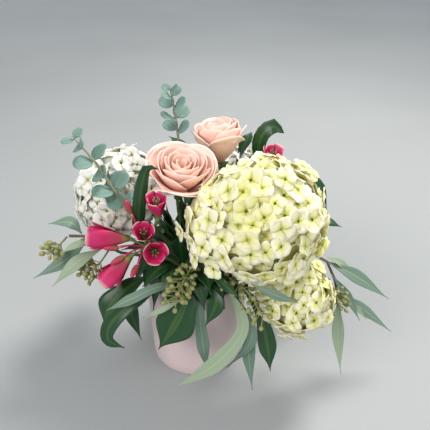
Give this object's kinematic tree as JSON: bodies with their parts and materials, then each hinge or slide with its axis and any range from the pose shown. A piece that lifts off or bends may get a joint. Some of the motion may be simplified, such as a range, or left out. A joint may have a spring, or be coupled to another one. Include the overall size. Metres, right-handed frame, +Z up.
{
  "type": "floral table centerpiece",
  "caption": "Table arrangement of roses, hydrangeas, alstroemeria, salal and seeded eucalyptus held by wet foam in a round ceramic pot.",
  "frame": {"origin": "centre of the pot's base, on the table", "axes": "+Z up the pot's axis; the front of the arrangement faces -Y, with the small low hydrangea on +X"},
  "size_m": [0.4257, 0.2676, 0.3396],
  "materials": {
    "pot_ceramic": "satin",
    "foam_green": "matte",
    "stem_green": "matte",
    "rose_petal": "matte",
    "rose_calyx": "matte",
    "hydrangea_cream": "matte",
    "hydrangea_white": "matte",
    "alstroemeria_pink": "satin",
    "dark_leaf": "satin",
    "eucalyptus_leaf": "matte",
    "gum_leaf": "matte",
    "seed_capsule": "matte"
  },
  "bodies": {
    "root": {"alstroemeria_left_flower_1": "alstroemeria_pink", "alstroemeria_left_flower_2": "alstroemeria_pink", "alstroemeria_left_flower_3": "alstroemeria_pink", "alstroemeria_left_flower_4": "alstroemeria_pink", "alstroemeria_left_flower_5": "alstroemeria_pink", "alstroemeria_left_leaf": "dark_leaf", "alstroemeria_left_stem": "stem_green", "alstroemeria_rear_flower": "alstroemeria_pink", "alstroemeria_rear_stem": "stem_green", "eucalyptus_left": "eucalyptus_leaf", "eucalyptus_top": "eucalyptus_leaf", "foam": "foam_green", "gum_leaf_1": "gum_leaf", "gum_leaf_2": "gum_leaf", "gum_leaf_3": "gum_leaf", "gum_leaf_4": "gum_leaf", "hydrangea_front_head": "hydrangea_cream", "hydrangea_front_stem": "stem_green", "hydrangea_low_head": "hydrangea_cream", "hydrangea_low_stem": "stem_green", "hydrangea_rear_head": "hydrangea_white", "hydrangea_rear_stem": "stem_green", "hydrangea_white_head": "hydrangea_white", "hydrangea_white_stem": "stem_green", "pot": "pot_ceramic", "rose_front_calyx": "rose_calyx", "rose_front_heart": "rose_petal", "rose_front_petal_1": "rose_petal", "rose_front_petal_2": "rose_petal", "rose_front_petal_3": "rose_petal", "rose_front_petal_4": "rose_petal", "rose_front_stem": "stem_green", "rose_rear_calyx": "rose_calyx", "rose_rear_heart": "rose_petal", "rose_rear_petal_1": "rose_petal", "rose_rear_petal_2": "rose_petal", "rose_rear_petal_3": "rose_petal", "rose_rear_stem": "stem_green", "salal_leaf_front": "dark_leaf", "salal_leaf_left": "dark_leaf", "salal_leaf_rear": "dark_leaf", "salal_leaf_rear_left": "dark_leaf", "salal_leaf_rear_right": "dark_leaf", "salal_leaf_right": "dark_leaf", "salal_leaf_right_front": "dark_leaf", "salal_leaf_top": "dark_leaf", "salal_leaf_twisted": "dark_leaf", "seeded_front_seeds_1": "seed_capsule", "seeded_front_seeds_2": "seed_capsule", "seeded_left_leaf_1": "gum_leaf", "seeded_left_leaf_2": "gum_leaf", "seeded_left_leaf_3": "gum_leaf", "seeded_left_seeds_1": "seed_capsule", "seeded_left_seeds_2": "seed_capsule", "seeded_left_stem": "stem_green", "seeded_right_leaf_1": "gum_leaf", "seeded_right_leaf_2": "gum_leaf", "seeded_right_leaf_3": "gum_leaf", "seeded_right_seeds": "seed_capsule", "seeded_right_stem": "stem_green"}
  },
  "joints": []
}
